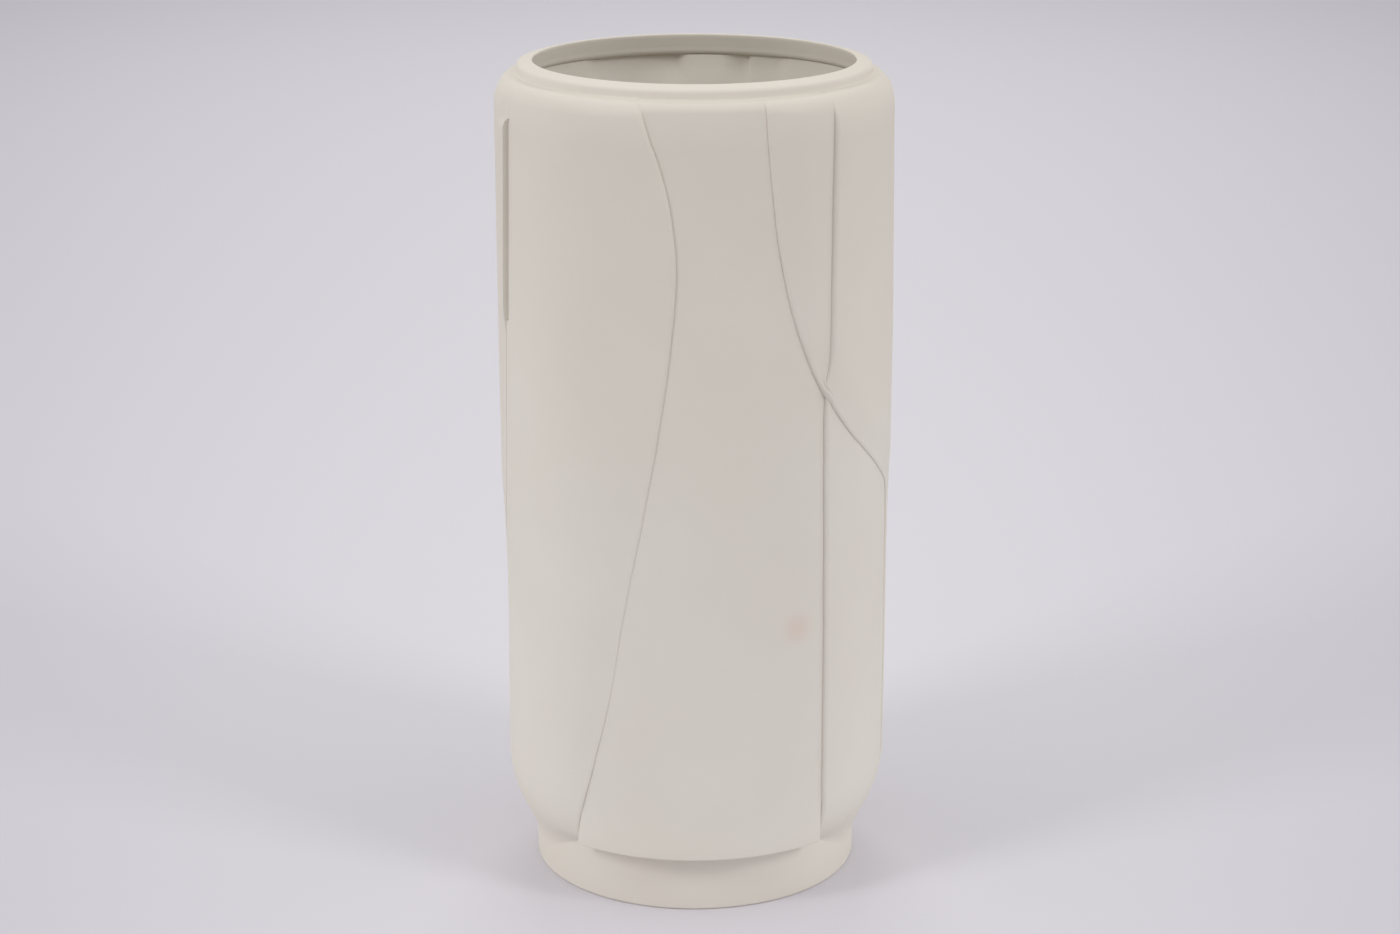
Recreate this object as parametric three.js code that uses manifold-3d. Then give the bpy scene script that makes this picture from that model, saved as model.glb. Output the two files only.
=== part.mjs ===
// A ceramic vase: a cylinder of unglazed white porcelain whose wall carries lapped sheets in low relief.
// Lengths are in millimetres, +Z is up, and the origin is the centre of the face that the vase stands on.
// The bare front panel faces -Y. Angles round the vase are in degrees and run from -Y towards +X.
import * as THREE from "three";
import { mergeVertices } from "three/addons/utils/BufferGeometryUtils.js";
import Module from "manifold-3d";

const wasm = await Module();
wasm.setup();

// Body
const overallHeight = 280;
const panelRadius = 62.9;
const wallThickness = 3.3;
const sheetThickness = 1.5;
const seatGap = 0.3;

// Foot and floor
const footHeight = 21.5;
const footInset = 7.8;
const footWall = 3.6;
const footEdgeRound = 0.9;
const floorRecess = 2.3;
const floorThickness = 4;
const floorSeatWidth = 2;

// Underside of the body
const bellyRise = 8.5;
const innerBellyReach = 6;

// Shoulder, collar and lip
const neckHeight = 4.6;
const lipHeight = 1.4;
const shoulderThickness = 3.1;
const shoulderReach = 3;
const shoulderEdgeRound = 1;
const ledgeWidth = 4.3;
const collarWall = 5.5;
const collarTaper = 1.4;
const collarWaistShare = 0.33;
const collarWaistTaperShare = 0.67;
const lipRound = 0.5;
const lipSoftShare = 0.33;
const lipSlope = 0.8;

// How each further sheet softens the shoulder and thins out on the ledge
const ledgeRiseShare = 0.6;
const shoulderReachShare = 1.1;
const shoulderDropShare = 1.1;

// Edges of the sheets: height as a share of the overall height, then the angle there
const leftFrontShares = [
  [0.07, -38.6],
  [0.26, -27.1],
  [0.366, -22.2],
  [0.606, -10.5],
  [0.78, -5.4],
  [0.862, -6.9],
  [0.918, -10.5],
  [0.985, -17],
];
const backRightShares = [
  [0.07, 88],
  [0.3, 87],
  [0.44, 85.5],
  [0.49, 80.5],
  [0.524, 69.3],
  [0.584, 51.2],
  [0.643, 39.7],
  [0.714, 31.4],
  [0.786, 26.3],
  [0.855, 23.5],
  [0.985, 20.2],
];
const backLeftShares = [
  [0.07, 262],
  [0.3, 266],
  [0.4, 270.5],
  [0.45, 275],
  [0.49, 279.4],
  [0.6, 282.6],
  [0.725, 285.7],
  [0.85, 288.2],
  [0.985, 290.6],
];
const rightFrontAngle = 42.4;
const rightBackAngle = 163;
const leftBackAngle = -167;

// Slot in the left sheet, along the far edge of the back sheet. It narrows to a tip at its lower end.
const slotWidth = 3;
const slotTipLength = 6.5;
const slotBottomShare = 0.698;
const slotTopShare = 0.943;

// Facets
const turnSegments = 60;
const sheetStepAngle = 9;
const cutterStepAngle = 6;
const bellySteps = 4;
const shoulderSteps = 5;
const plainRowShares = [0, 1];
const leftRowShares = [0, 0.13, 0.26, 0.38, 0.49, 0.59, 0.67, 0.74, 0.8, 0.85, 0.89, 0.93, 0.965, 1];
const backRowShares = [
  0, 0.2, 0.36, 0.42, 0.445, 0.462, 0.477, 0.492, 0.51, 0.53, 0.555, 0.585, 0.62, 0.67, 0.73, 0.8, 0.88, 1,
];
const edgeStepShares = [0, 0.3, 1];
const edgeFaceShare = 0.3;
const columnGapShare = 0.1;
const slotTipShares = [0, 0.08, 0.3, 1];
const slotRowShares = [0.5, 1];
const lapStepShares = [1, 0.75, 0.35, 0];
const cutOverrun = 2;

// Sizes that follow from the ones above
const footRadius = panelRadius - footInset;
const footBore = footRadius - footWall;
const bellyHeight = footHeight + bellyRise;
const bellyCentreRadius = footRadius + seatGap;
const ledgeHeight = overallHeight - neckHeight;
const wallTop = ledgeHeight - shoulderThickness;
const collarRadius = panelRadius - ledgeWidth;
const mouthRadius = collarRadius - collarWall;
const lipBase = overallHeight - lipHeight;
const lipRadius = collarRadius - collarTaper;
const innerRadius = panelRadius - wallThickness;

const quarter = Math.PI / 2;
const degree = Math.PI / 180;

// A point at an angle round the vase, a distance from its axis and a height.
function around(angle, radius, height) {
  return new THREE.Vector3(radius * Math.sin(angle * degree), -radius * Math.cos(angle * degree), height);
}

// An edge's angle at any height, as a smooth curve through its named places.
function edgeCurve(shares) {
  const heights = shares.map(([share]) => share * overallHeight);
  const angles = shares.map(([, angle]) => angle);
  const curve = new THREE.CubicInterpolant(heights, angles, 1);
  const lowest = heights[0];
  const highest = heights[heights.length - 1];
  return (height) => curve.evaluate(THREE.MathUtils.clamp(height, lowest, highest))[0];
}

const leftFront = edgeCurve(leftFrontShares);
const backRight = edgeCurve(backRightShares);
const backLeft = edgeCurve(backLeftShares);
const rightFront = () => rightFrontAngle;
const rightBack = () => rightBackAngle;
const leftBack = () => leftBackAngle;

// The section of the vase's outside, as radius and height, for a skin that stands proud of the front panel.
// It rounds in below to the foot, rises straight, rounds over the shoulder and ends on the ledge.
function section(proud, rowShares, overrun = 0) {
  const radius = panelRadius + proud;
  const bottom = footHeight - proud;
  const top = ledgeHeight + ledgeRiseShare * proud;
  const reach = shoulderReach + shoulderReachShare * proud;
  const drop = shoulderThickness + (shoulderDropShare * proud * proud) / sheetThickness;
  const points = [];
  if (overrun > 0) points.push([bellyCentreRadius - overrun, bottom]);
  for (let step = 0; step < bellySteps; step++) {
    const turn = (step / bellySteps) * quarter;
    const out = (radius - bellyCentreRadius) * Math.sin(turn);
    const down = (bellyHeight - bottom) * Math.cos(turn);
    points.push([bellyCentreRadius + out, bellyHeight - down]);
  }
  for (const share of rowShares) {
    points.push([radius, THREE.MathUtils.lerp(bellyHeight, top - drop, share)]);
  }
  for (let step = 1; step <= shoulderSteps; step++) {
    const turn = (step / shoulderSteps) * quarter;
    points.push([radius - reach * (1 - Math.cos(turn)), top - drop * (1 - Math.sin(turn))]);
  }
  points.push([collarRadius + seatGap - overrun, top]);
  return points;
}

// A closed body through rings of points, each ring running along the outside and back along the inside.
function loft(rings) {
  const count = rings[0].length;
  const half = count / 2;
  const last = rings.length - 1;
  const index = [];
  const at = (row, place) => row * count + (place % count);
  const quad = (a, b, c, d) => index.push(a, b, c, a, c, d);
  for (let row = 0; row < last; row++) {
    for (let place = 0; place < count; place++) {
      quad(at(row, place), at(row, place + 1), at(row + 1, place + 1), at(row + 1, place));
    }
  }
  for (let place = 0; place < half - 1; place++) {
    const back = count - 1 - place;
    quad(at(0, place + 1), at(0, place), at(0, back), at(0, back - 1));
    quad(at(last, place), at(last, place + 1), at(last, back - 1), at(last, back));
  }
  const positions = rings.flat().flatMap((point) => point.toArray());
  const geometry = new THREE.BufferGeometry();
  geometry.setAttribute("position", new THREE.Float32BufferAttribute(positions, 3));
  geometry.setIndex(index);
  return geometry;
}

// A profile of radius and height points turned round the vertical axis.
function turned(profile) {
  const points = profile.map(([radius, height]) => new THREE.Vector2(radius, height));
  return new THREE.LatheGeometry(points, turnSegments).rotateX(quarter);
}

// A block between two radii and two edges, which follows the edges at each height given.
function sector(startEdge, endEdge, inside, outside, heights) {
  const spans = heights.map((height) => endEdge(height) - startEdge(height));
  const steps = Math.ceil(Math.max(...spans) / cutterStepAngle);
  const rings = heights.map((height) => {
    const outer = [];
    const inner = [];
    for (let step = 0; step <= steps; step++) {
      const angle = THREE.MathUtils.lerp(startEdge(height), endEdge(height), step / steps);
      outer.push(around(angle, outside, height));
      inner.push(around(angle, inside, height));
    }
    return [...outer, ...inner.reverse()];
  });
  return loft(rings);
}

function solid(geometry) {
  const bare = geometry.clone();
  bare.deleteAttribute("normal");
  bare.deleteAttribute("uv");
  const merged = mergeVertices(bare);
  const mesh = new wasm.Mesh({
    numProp: 3,
    vertProperties: merged.attributes.position.array,
    triVerts: new Uint32Array(merged.index.array),
  });
  return new wasm.Manifold(mesh);
}

function geometryOf(made) {
  const mesh = made.getMesh();
  const geometry = new THREE.BufferGeometry();
  geometry.setAttribute("position", new THREE.BufferAttribute(mesh.vertProperties, 3));
  geometry.setIndex(new THREE.BufferAttribute(mesh.triVerts, 1));
  geometry.computeVertexNormals();
  return geometry;
}

// How far a rounded step has risen, from 0 at its foot to 1 on top, at a share of its width.
function roundedRise(share) {
  const place = THREE.MathUtils.clamp(share, 0, 1);
  return Math.sqrt(1 - (1 - place) ** 2);
}

// Length along the wall for each degree, and the width of the step in a sheet that laps over another.
const lengthPerDegree = panelRadius * degree;
const lapWidth = sheetThickness;
const lapFoot = lapWidth + seatGap;
const columnGap = columnGapShare * sheetThickness;

// Whole steps round the vase, and places where a lap's rounded step needs columns of its own.
function columnAngles(lowest, highest, laps) {
  const regular = [];
  for (let angle = -180; angle <= 360; angle += sheetStepAngle) {
    regular.push(angle);
  }
  const steps = laps.flatMap((lap) =>
    lapStepShares.map((share) => lap.angle - (lap.rises * (seatGap + share * lapWidth)) / lengthPerDegree),
  );
  const within = [...regular, ...steps].filter((angle) => angle > lowest && angle < highest);
  return within.sort((a, b) => a - b);
}

// Columns of a skin between two edges, with room for its rounded edges. A column that an edge has passed is pushed
// along with it, so that the columns stay in order.
function columnsBetween(start, end, inner, edge) {
  const push = columnGap / lengthPerDegree;
  const angles = edge.map((offset) => start + offset);
  const last = end - edge[edge.length - 1];
  for (const [place, angle] of inner.entries()) {
    const least = angles[angles.length - 1] + push;
    const most = last - (inner.length - place) * push;
    angles.push(Math.min(Math.max(angle, least), most));
  }
  angles.push(...edge.map((offset) => end - offset).reverse());
  return angles;
}

// A skin between two edges. Its inside and outside stand proud of the front panel by what is given for each angle.
function skin(startEdge, endEdge, rowShares, edgeWidth, laps, insideAt, outsideAt, overrun = 0) {
  const sections = new Map();
  const rowsOf = (proud) => {
    if (!sections.has(proud)) sections.set(proud, section(proud, rowShares, overrun));
    return sections.get(proud);
  };
  const heights = rowsOf(sheetThickness).map(([, height]) => height);
  const inner = columnAngles(Math.min(...heights.map(startEdge)), Math.max(...heights.map(endEdge)), laps);
  const edge = edgeStepShares.map((share) => (share * edgeWidth) / lengthPerDegree);
  const rings = heights.map((height, row) => {
    const start = startEdge(height);
    const end = endEdge(height);
    const angles = columnsBetween(start, end, inner, edge);
    const outer = angles.map((angle) => {
      const fromEdge = Math.min(angle - start, end - angle) * lengthPerDegree;
      return around(angle, ...rowsOf(outsideAt(angle, fromEdge))[row]);
    });
    const under = angles.map((angle) => around(angle, ...rowsOf(insideAt)[row]));
    return [...outer, ...under.reverse()];
  });
  return loft(rings);
}

// A thin sheet with rounded edges. It steps up over another sheet where it covers one.
function sheet(startEdge, endEdge, rowShares, laps = [], covered = () => -Infinity) {
  const outsideAt = (angle, fromEdge) => {
    const cover = covered(angle) * lengthPerDegree;
    const seat = cover > -seatGap ? seatGap + sheetThickness : seatGap;
    const full = sheetThickness * (1 + roundedRise((cover + lapFoot) / lapWidth));
    const edgeShare = edgeFaceShare + (1 - edgeFaceShare) * roundedRise(fromEdge / sheetThickness);
    return seat + (full - seat) * edgeShare;
  };
  return skin(startEdge, endEdge, rowShares, sheetThickness, laps, seatGap, outsideAt);
}

// The space that a sheet takes up, with the seat gap all round, for cutting a sheet that laps over it.
function sheetSpace(startEdge, endEdge, rowShares) {
  const clearance = seatGap / lengthPerDegree;
  return skin(
    (height) => startEdge(height) - clearance,
    (height) => endEdge(height) + clearance,
    rowShares,
    seatGap,
    [],
    0,
    () => sheetThickness + seatGap,
    cutOverrun,
  );
}

// Foot: a plain wall with a rebate inside that the floor sits on.
function footRing() {
  const rebate = footBore - floorSeatWidth;
  const profile = [
    [rebate, 0],
    [footRadius - footEdgeRound, 0],
    [footRadius, footEdgeRound],
    [footRadius, footHeight],
    [footBore, footHeight],
    [footBore, floorRecess],
    [rebate, floorRecess],
    [rebate, 0],
  ];
  return turned(profile);
}

function floorDisc() {
  const radius = footBore - seatGap;
  const top = floorRecess + floorThickness;
  return turned([
    [0, floorRecess],
    [radius, floorRecess],
    [radius, top],
    [0, top],
  ]);
}

// Heights at which a block that cuts the wall's inside follows the edges of a sheet.
function cutterHeights(rowShares) {
  const high = wallTop + cutOverrun;
  return rowShares.map((share) => THREE.MathUtils.lerp(bellyHeight, high, share));
}

// Body wall: turned, with a straight apron under the front panel, and set back inside behind the two front sheets,
// so that the porcelain keeps one thickness there.
function bodyWall() {
  const outside = section(0, plainRowShares).filter(([, height]) => height <= wallTop);
  const innerFloor = footHeight + wallThickness;
  const innerRise = bellyHeight - innerFloor;
  const inside = [];
  for (let step = bellySteps; step >= 0; step--) {
    const turn = (step / bellySteps) * quarter;
    inside.push([
      innerRadius - innerBellyReach * (1 - Math.sin(turn)),
      bellyHeight - innerRise * Math.cos(turn),
    ]);
  }
  const profile = [
    [footBore, footHeight],
    ...outside,
    [innerRadius, wallTop],
    ...inside,
    [footBore, innerFloor],
    [footBore, footHeight],
  ];
  const wall = solid(turned(profile));

  const apronRing = solid(
    turned([
      [bellyCentreRadius, footHeight],
      [panelRadius, footHeight],
      [panelRadius, bellyHeight],
      [bellyCentreRadius, bellyHeight],
      [bellyCentreRadius, footHeight],
    ]),
  );
  const clearance = seatGap / lengthPerDegree;
  const apronSpan = solid(
    sector(
      (height) => leftFront(height) + clearance,
      (height) => rightFront(height) - clearance,
      footBore,
      panelRadius + wallThickness,
      [footHeight - cutOverrun, footHeight, (footHeight + bellyHeight) / 2, bellyHeight, bellyHeight + cutOverrun],
    ),
  );

  const setBack = innerRadius + sheetThickness;
  const hollow = mouthRadius - wallThickness;
  const leftSetBack = solid(sector(leftBack, leftFront, hollow, setBack, cutterHeights(leftRowShares)));
  const rightSetBack = solid(sector(rightFront, rightBack, hollow, setBack, cutterHeights(plainRowShares)));
  return geometryOf(wall.add(apronRing.intersect(apronSpan)).subtract(leftSetBack).subtract(rightSetBack));
}

function shoulderRing() {
  const arc = [];
  for (let step = 0; step <= shoulderSteps; step++) {
    const turn = (step / shoulderSteps) * quarter;
    arc.push([
      panelRadius - shoulderReach * (1 - Math.cos(turn)),
      wallTop + shoulderThickness * Math.sin(turn),
    ]);
  }
  return turned([
    [mouthRadius + shoulderEdgeRound, wallTop],
    ...arc,
    [mouthRadius, ledgeHeight],
    [mouthRadius, wallTop + shoulderEdgeRound],
    [mouthRadius + shoulderEdgeRound, wallTop],
  ]);
}

// Collar: a short neck that leans in a little as it rises from the ledge.
function neckCollar() {
  const waist = THREE.MathUtils.lerp(ledgeHeight, lipBase, collarWaistShare);
  return turned([
    [mouthRadius, ledgeHeight],
    [collarRadius, ledgeHeight],
    [collarRadius - collarWaistTaperShare * collarTaper, waist],
    [lipRadius, lipBase],
    [mouthRadius, lipBase],
    [mouthRadius, ledgeHeight],
  ]);
}

// Lip: its top slopes down a little from the mouth to a softened outer edge.
function lipRing() {
  const outerTop = overallHeight - lipSlope;
  return turned([
    [mouthRadius, lipBase],
    [lipRadius, lipBase],
    [lipRadius - lipSoftShare * lipRound, outerTop - lipRound],
    [lipRadius - lipRound, outerTop],
    [mouthRadius + lipRound, overallHeight],
    [mouthRadius, overallHeight - lipRound],
    [mouthRadius, lipBase],
  ]);
}

// The slot starts at the back sheet's edge and follows it, so that both sheets end there in one face.
function slotSpace() {
  const bottom = slotBottomShare * overallHeight;
  const top = slotTopShare * overallHeight;
  const tipTop = bottom + slotTipLength;
  const width = (height) => columnGap + (slotWidth - columnGap) * roundedRise((height - bottom) / slotTipLength);
  const heights = [
    ...slotTipShares.map((share) => THREE.MathUtils.lerp(bottom, tipTop, share)),
    ...slotRowShares.map((share) => THREE.MathUtils.lerp(tipTop, top, share)),
  ];
  return sector(
    (height) => backLeft(height) - 360,
    (height) => backLeft(height) - 360 + width(height) / lengthPerDegree,
    panelRadius - wallThickness,
    panelRadius + wallThickness,
    heights,
  );
}

// Left sheet: from the long curved edge beside the panel round to the back, with a slot beside the back sheet.
function leftSheet() {
  const blank = solid(sheet(leftBack, leftFront, leftRowShares));
  return geometryOf(blank.subtract(solid(slotSpace())));
}

function rightSheet() {
  return sheet(rightFront, rightBack, plainRowShares);
}

// Back sheet: from its sweeping front edge on the right, over both other sheets, round to the left side.
function backSheet() {
  const laps = [
    { angle: rightFrontAngle, rises: 1 },
    { angle: rightBackAngle, rises: -1 },
    { angle: leftBackAngle + 360, rises: 1 },
  ];
  const covered = (angle) =>
    Math.max(Math.min(angle - rightFrontAngle, rightBackAngle - angle), angle - leftBackAngle - 360);
  const blank = solid(sheet(backRight, backLeft, backRowShares, laps, covered));
  const overRight = solid(sheetSpace(rightFront, rightBack, plainRowShares));
  const overLeft = solid(sheetSpace(leftBack, leftFront, leftRowShares));
  return geometryOf(blank.subtract(overRight).subtract(overLeft));
}

function piece(name, geometry, colour, roughness) {
  const material = new THREE.MeshStandardMaterial({ color: colour, roughness, metalness: 0 });
  const mesh = new THREE.Mesh(geometry, material);
  mesh.name = name;
  return mesh;
}

const vase = new THREE.Group();
vase.name = "ceramic_vase";
vase.add(
  piece("foot_ring", footRing(), "#cfcbc4", 0.9),
  piece("floor_disc", floorDisc(), "#c9c4bb", 0.9),
  piece("body_wall", bodyWall(), "#cdc6bc", 0.86),
  piece("left_sheet", leftSheet(), "#d6d2ca", 0.86),
  piece("right_sheet", rightSheet(), "#d4cfc8", 0.86),
  piece("back_sheet", backSheet(), "#d7d4cd", 0.86),
  piece("shoulder_ring", shoulderRing(), "#d9d6cf", 0.84),
  piece("neck_collar", neckCollar(), "#d3cfc7", 0.84),
  piece("lip_ring", lipRing(), "#dcd9d2", 0.82),
);

export default vase;
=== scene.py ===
# %% [markdown]
# A porcelain vase in low relief
#
# The vase is a tall cylinder of unglazed white porcelain, about as wide as a hand. Thin sheets of clay are lapped
# round its wall and end in one long curve, one straight edge and one sweeping diagonal. This lesson makes each part
# that a potter would make by itself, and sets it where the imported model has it. Lengths are metres, +Z is up, the
# origin is the centre of the face that the vase stands on, and the bare front panel faces -Y.

# %% Load the frame
import math

import bpy
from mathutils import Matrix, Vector, noise


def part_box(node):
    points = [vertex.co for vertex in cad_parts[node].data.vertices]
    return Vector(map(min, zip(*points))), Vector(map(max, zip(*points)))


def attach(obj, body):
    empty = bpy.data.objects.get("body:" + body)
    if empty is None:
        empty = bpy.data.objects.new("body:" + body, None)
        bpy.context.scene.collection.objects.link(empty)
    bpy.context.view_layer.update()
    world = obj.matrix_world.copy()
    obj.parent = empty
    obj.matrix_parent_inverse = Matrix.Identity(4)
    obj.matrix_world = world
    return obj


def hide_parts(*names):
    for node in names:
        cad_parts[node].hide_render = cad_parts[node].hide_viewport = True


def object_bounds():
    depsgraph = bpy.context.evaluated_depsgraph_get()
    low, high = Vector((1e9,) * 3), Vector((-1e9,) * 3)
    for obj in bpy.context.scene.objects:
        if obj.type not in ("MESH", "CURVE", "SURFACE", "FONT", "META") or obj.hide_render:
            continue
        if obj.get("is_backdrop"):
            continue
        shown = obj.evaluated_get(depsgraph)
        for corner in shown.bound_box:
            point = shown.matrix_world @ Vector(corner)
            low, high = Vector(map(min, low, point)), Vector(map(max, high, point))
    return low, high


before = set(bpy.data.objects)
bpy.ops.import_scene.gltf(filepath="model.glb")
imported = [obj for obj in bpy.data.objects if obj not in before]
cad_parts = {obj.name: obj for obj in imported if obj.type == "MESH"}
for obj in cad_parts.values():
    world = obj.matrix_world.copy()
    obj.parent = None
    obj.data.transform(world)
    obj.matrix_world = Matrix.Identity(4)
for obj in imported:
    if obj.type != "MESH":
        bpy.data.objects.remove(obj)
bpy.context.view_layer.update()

print("nodes:", sorted(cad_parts))

# %% [markdown]
# Sizes
#
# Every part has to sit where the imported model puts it. The radii and heights that parts share could be typed again,
# but they would drift apart when the model changes, so they are read from the boxes of its nodes. What a box can't
# tell, such as the thickness of a wall, is named here once.

# %% Sizes read from the frame
panel_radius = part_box("body_wall")[1].x
wall_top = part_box("body_wall")[1].z
sheet_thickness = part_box("right_sheet")[1].x - panel_radius
foot_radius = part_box("foot_ring")[1].x
foot_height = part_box("foot_ring")[1].z
floor_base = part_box("floor_disc")[0].z
floor_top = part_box("floor_disc")[1].z
ledge_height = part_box("shoulder_ring")[1].z
collar_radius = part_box("neck_collar")[1].x
lip_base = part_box("lip_ring")[0].z
vase_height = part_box("lip_ring")[1].z
print(f"panel radius {panel_radius:.4f}, sheets {sheet_thickness:.4f}, height {vase_height:.4f}")

# %% Sizes that the boxes can't tell
wall_thickness = 0.0033
foot_wall = 0.0036
collar_wall = 0.0055
belly_rise = 0.0175
inner_belly_reach = 0.0075
shoulder_reach = 0.003
ledge_rise_share = 0.12
shoulder_reach_share = 1.15
shoulder_drop_share = 0.83
shoulder_sag_share = 0.83
sunk = 0.0002

foot_bore = foot_radius - foot_wall
mouth_radius = collar_radius - collar_wall
inner_radius = panel_radius - wall_thickness
belly_height = foot_height + belly_rise
shoulder_drop = ledge_height - wall_top

# %% [markdown]
# The edges of the sheets
#
# On the real vase each edge was cut freehand through soft clay, so it is a smooth curve with no corner. It could be
# drawn as a curve object, but the sheets need to know the edge at any height. So each edge is a short table of
# places, a share of the vase's height and an angle in degrees from the front, joined by a smooth cubic. The right
# sheet's edge is nearly upright, so its table only says how far it drifts from one angle.

# %% Edge curves
left_front_shares = [
    (0.07, -40.4), (0.26, -27.1), (0.366, -22.2), (0.606, -10.5),
    (0.78, -5.4), (0.862, -6.9), (0.918, -10.5), (0.985, -17),
]
back_right_shares = [
    (0.07, 88), (0.3, 87), (0.44, 85.5), (0.49, 80.5), (0.524, 69.3), (0.584, 51.2),
    (0.643, 39.7), (0.714, 31.4), (0.786, 26.3), (0.855, 23.5), (0.985, 20.2),
]
back_left_shares = [
    (0.07, 262), (0.3, 266), (0.4, 270.5), (0.45, 275), (0.49, 279.4),
    (0.6, 282.6), (0.725, 285.7), (0.85, 288.2), (0.985, 290.6),
]
right_drift_shares = [
    (0.07, -0.6), (0.25, -0.6), (0.45, -0.9), (0.56, -1.3), (0.635, -1.2), (0.668, 0.7),
    (0.69, 1.1), (0.75, 1.4), (0.82, 1.65), (0.93, 2.1), (0.985, 2.2),
]
right_front_angle = 42.4
right_back_angle = 163
left_back_angle = -167
slot_width = 0.0036
slot_tip_length = 0.0065
slot_top_length = 0.004
slot_height_shares = (0.698, 0.943)


def by_height(shares):
    """A value that changes with height: a cubic between places, whose slope at each follows its neighbours."""
    places = [(share * vase_height, value) for share, value in shares]
    last = len(places) - 1

    def slope(place):
        before, after = places[max(place - 1, 0)], places[min(place + 1, last)]
        return (after[1] - before[1]) / (after[0] - before[0])

    def value_at(height):
        height = min(max(height, places[0][0]), places[last][0])
        step = next(i for i in range(last) if height <= places[i + 1][0])
        (low, start), (high, end) = places[step], places[step + 1]
        span = high - low
        t = (height - low) / span
        rising = start * (1 + 2 * t) + span * slope(step) * t
        arriving = end * (3 - 2 * t) - span * slope(step + 1) * (1 - t)
        return rising * (1 - t) ** 2 + arriving * t ** 2

    return value_at


left_front = by_height(left_front_shares)
back_right = by_height(back_right_shares)
back_left = by_height(back_left_shares)
right_drift = by_height(right_drift_shares)


def right_front(height):
    return right_front_angle + right_drift(height)


print(f"left edge at half the height: {left_front(vase_height / 2):.1f} degrees")

# %% [markdown]
# The camera
#
# A long lens looks a little down at the vase, so the mouth is open to view and the sides hardly converge. A camera
# could be aimed by eye, but a lens and a place that are worked out from the ellipses of the mouth and foot put every
# line of the relief where it belongs.

# %% Camera
sensor_millimetres = 36
image_width_pixels = 1400
focal_length_pixels = 2843
camera_distance = 0.9298
camera_height = 0.4246
camera_tilt_degrees = 72.96
camera_turn_degrees = -0.114

bpy.ops.object.select_all(action="DESELECT")
bpy.ops.object.camera_add(
    location=(0, -camera_distance, camera_height),
    rotation=(math.radians(camera_tilt_degrees), 0, math.radians(camera_turn_degrees)),
)
camera = bpy.context.object
camera.data.sensor_width = sensor_millimetres
camera.data.lens = sensor_millimetres * focal_length_pixels / image_width_pixels
bpy.context.scene.camera = camera
bpy.context.scene.view_settings.view_transform = "Standard"
print(f"lens {camera.data.lens:.1f} mm")

# %% [markdown]
# Working by hand in code
#
# An operator acts on whatever is selected, and loading leaves the frame's nodes selected. So each new piece starts
# from a clean slate. Two helpers then make most of the vase. One bends a ring of vertices to a section and spins it,
# as a wheel does. The other lays a flat slab round the vase, as hands do.

# %% Helpers for selecting
turn_steps = 360
smooth_angle = math.radians(35)
tiny = 1e-6


def clean_slate():
    """Leave edit mode and select nothing."""
    if bpy.context.mode != "OBJECT":
        bpy.ops.object.mode_set(mode="OBJECT")
    bpy.ops.object.select_all(action="DESELECT")


def select_only(piece, kind, chosen):
    """Go into edit mode with only these edges or faces selected, by a test of each one."""
    bpy.ops.object.mode_set(mode="EDIT")
    bpy.ops.mesh.select_mode(type=kind)
    bpy.ops.mesh.select_all(action="DESELECT")
    bpy.ops.object.mode_set(mode="OBJECT")
    for item in piece.data.edges if kind == "EDGE" else piece.data.polygons:
        item.select = chosen(item)
    bpy.ops.object.mode_set(mode="EDIT")


def tidy(piece):
    """Merge doubled vertices, turn every face outwards and smooth all but the real corners."""
    bpy.ops.object.mode_set(mode="EDIT")
    bpy.ops.mesh.select_all(action="SELECT")
    bpy.ops.mesh.remove_doubles(threshold=tiny)
    bpy.ops.mesh.normals_make_consistent(inside=False)
    bpy.ops.object.mode_set(mode="OBJECT")
    bpy.ops.object.shade_smooth_by_angle(angle=smooth_angle)
    print(f"{piece.name}: {len(piece.data.polygons)} faces")
    return piece


# %% Helpers for shaping
def turned_piece(name, section):
    """Bend a ring of vertices to a closed section of radius and height, and spin it round the axis."""
    clean_slate()
    bpy.ops.mesh.primitive_circle_add(vertices=len(section), radius=foot_radius, fill_type="NOTHING")
    piece = bpy.context.object
    piece.name = name
    vertices = piece.data.vertices
    for vertex, (radius, height) in zip(vertices, section):
        vertex.co = (radius, 0, height)
    select_only(piece, "EDGE", lambda edge: all(vertices[i].co.x < tiny for i in edge.vertices))
    bpy.ops.mesh.delete(type="EDGE")
    bpy.ops.mesh.select_all(action="SELECT")
    bpy.ops.mesh.spin(steps=turn_steps, angle=2 * math.pi, center=(0, 0, 0), axis=(0, 0, 1))
    return tidy(piece)


def arc(centre, reach, start_degrees, end_degrees, steps):
    """Points of radius and height on an arc of an ellipse with this reach across and up."""
    points = []
    for step in range(steps + 1):
        turn = math.radians(start_degrees + (end_degrees - start_degrees) * step / steps)
        points.append((centre[0] + reach[0] * math.cos(turn), centre[1] + reach[1] * math.sin(turn)))
    return points


def around(angle_degrees, radius, height):
    """A point at an angle from the front, a distance from the axis and a height."""
    turn = math.radians(angle_degrees)
    return Vector((radius * math.sin(turn), -radius * math.cos(turn), height))


def slab(name, columns, rows, place):
    """Lay a flat grid round the vase. place(column, row) gives the point for each vertex, which remembers both."""
    clean_slate()
    bpy.ops.mesh.primitive_grid_add(x_subdivisions=columns - 1, y_subdivisions=rows - 1, size=1)
    piece = bpy.context.object
    piece.name = name
    for direction, share in (("column", 1), ("row", columns)):
        numbers = piece.data.attributes.new(direction, "INT", "POINT").data
        for index, number in enumerate(numbers):
            number.value = index // share % (columns if direction == "column" else rows)
    put(piece, 0, place)
    return piece


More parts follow.
